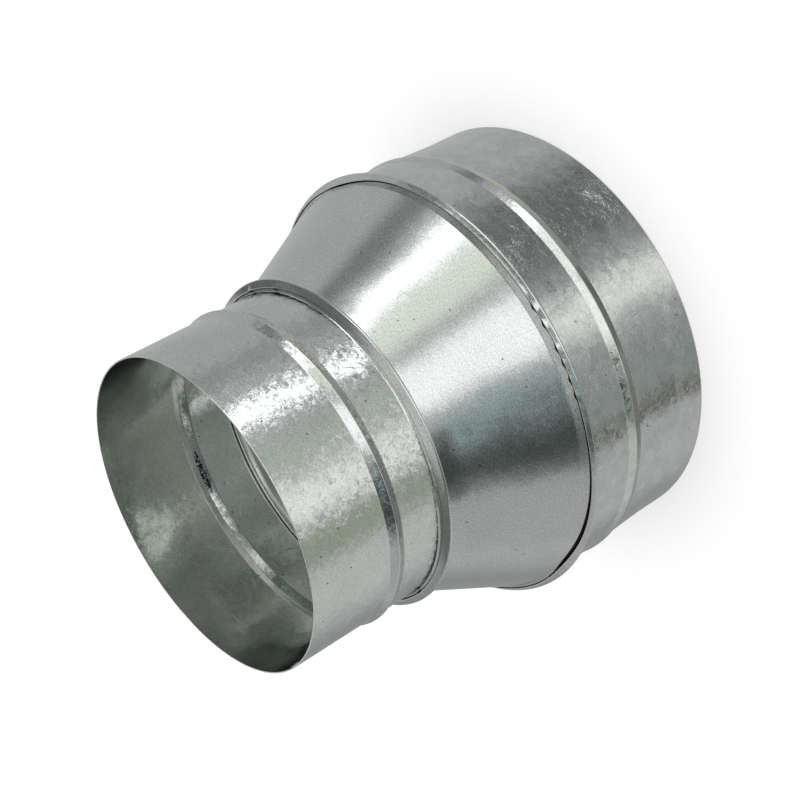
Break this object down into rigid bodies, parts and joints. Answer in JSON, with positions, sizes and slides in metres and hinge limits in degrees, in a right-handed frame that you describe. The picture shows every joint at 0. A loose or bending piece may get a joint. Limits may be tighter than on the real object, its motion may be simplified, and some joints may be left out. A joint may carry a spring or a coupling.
{
  "type": "duct reducer",
  "caption": "Round sheet-steel duct reducer: a narrow collar, a cone and a wide collar joined by folded standing seams, with a bead near each open end.",
  "frame": {"origin": "centre of the large collar's open rim, in the plane it stands on", "axes": "+Z along the duct axis towards the small open end, -X through the lengthwise laps of the three sheets"},
  "size_m": [0.2092, 0.2092, 0.2055],
  "materials": {
    "galvanised_small_collar": "zinc coated, smooth, fine grain",
    "galvanised_cone": "zinc coated, smooth, fine grain",
    "galvanised_large_collar": "zinc coated, smooth, fine spangle"
  },
  "bodies": {
    "root": {"small_collar": "galvanised_small_collar", "cone": "galvanised_cone", "large_collar": "galvanised_large_collar"}
  },
  "joints": []
}
